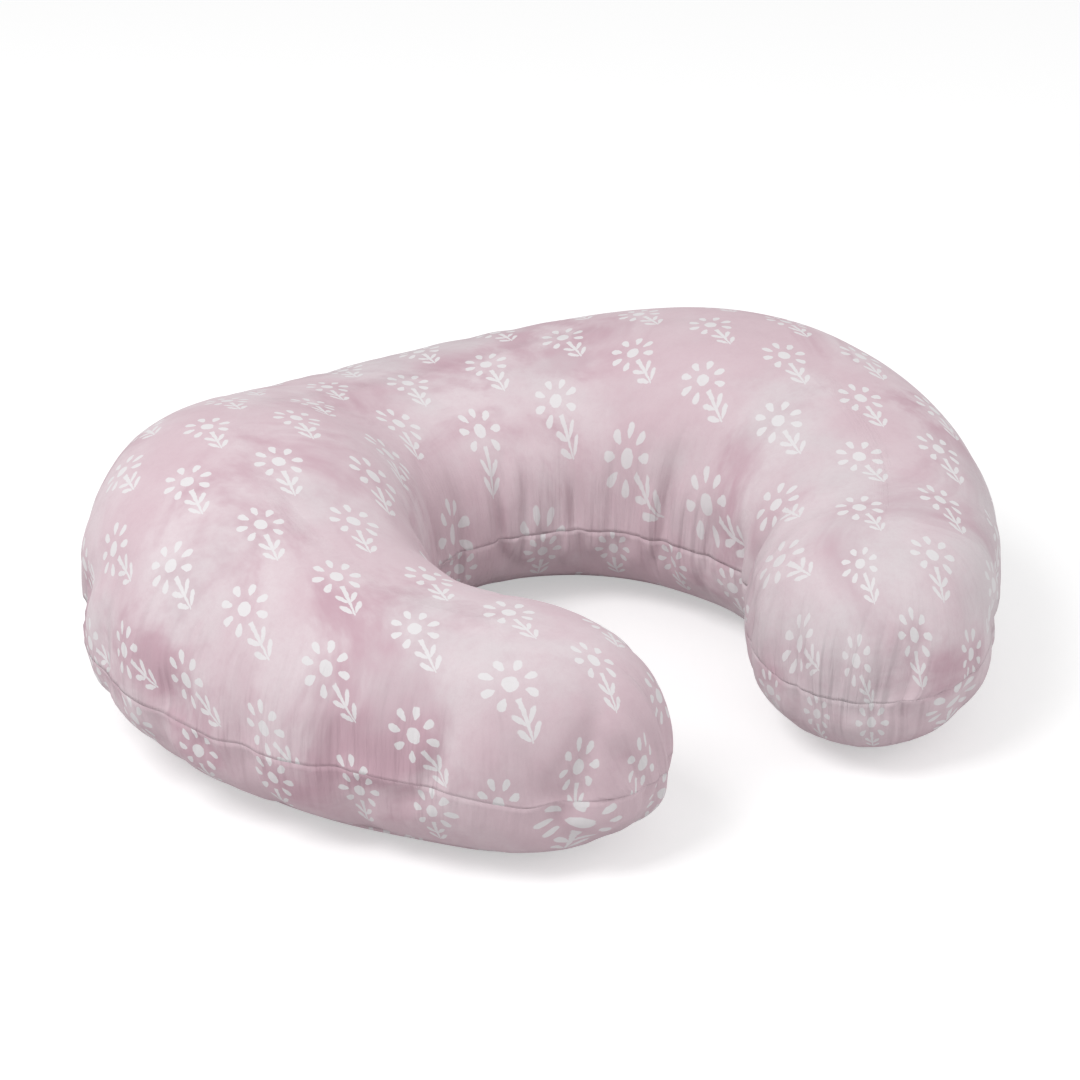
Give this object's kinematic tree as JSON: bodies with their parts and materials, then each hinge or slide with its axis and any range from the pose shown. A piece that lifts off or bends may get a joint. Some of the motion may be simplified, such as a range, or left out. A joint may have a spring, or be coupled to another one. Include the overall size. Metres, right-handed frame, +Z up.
{
  "type": "nursing pillow",
  "caption": "C-shaped stuffed nursing pillow in a removable printed cotton cover, with bands round its sides, a flat base and a zip at the back.",
  "frame": {"origin": "on the floor under the middle of the pillow's outline", "axes": "+Z up, -Y out of the mouth of the C, +X to the right when the mouth faces the viewer"},
  "size_m": [0.5494, 0.4924, 0.1559],
  "materials": {
    "printed_cotton": "matt plain-weave cotton, clouded pink with white block-printed flowers",
    "sewing_thread": "matt polyester thread",
    "zip_tape": "woven polyester tape",
    "zip_coil": "nylon coil",
    "zip_metal": "satin enamel on die-cast metal",
    "label_satin": "satin ribbon, blank",
    "casing_cloth": "plain white cotton-blend casing",
    "polyester_fibre": "loose polyester fibre"
  },
  "bodies": {
    "pillow": {"top_panel": "printed_cotton", "outer_band": "printed_cotton", "inner_band": "printed_cotton", "base_panel": "printed_cotton", "upper_seam_thread": "sewing_thread", "lower_seam_thread": "sewing_thread", "zip_tape_upper": "zip_tape", "zip_tape_lower": "zip_tape", "zip_coil_upper": "zip_coil", "zip_coil_lower": "zip_coil", "zip_top_stops": "zip_metal", "zip_bottom_stop": "zip_metal", "zip_end_patches": "printed_cotton", "care_label": "label_satin", "insert_top_panel": "casing_cloth", "insert_bottom_panel": "casing_cloth", "insert_seam_thread": "sewing_thread", "insert_label": "label_satin", "fibre_filling": "polyester_fibre"},
    "zip_slider": {"zip_slider": "zip_metal"},
    "zip_pull": {"zip_pull_tab": "zip_metal"}
  },
  "joints": [
    {"name": "zip_travel", "type": "hinge", "parent": "pillow", "child": "zip_slider", "pos_m": [0, -0.03875, 0.058], "axis": [0, 0, 1], "range_deg": [0, 53.75]},
    {"name": "pull_tab_turn", "type": "hinge", "parent": "zip_slider", "child": "zip_pull", "pos_m": [0.13003, 0.21778, 0.058], "axis": [0, 0, -1], "range_deg": [0, 175]}
  ]
}
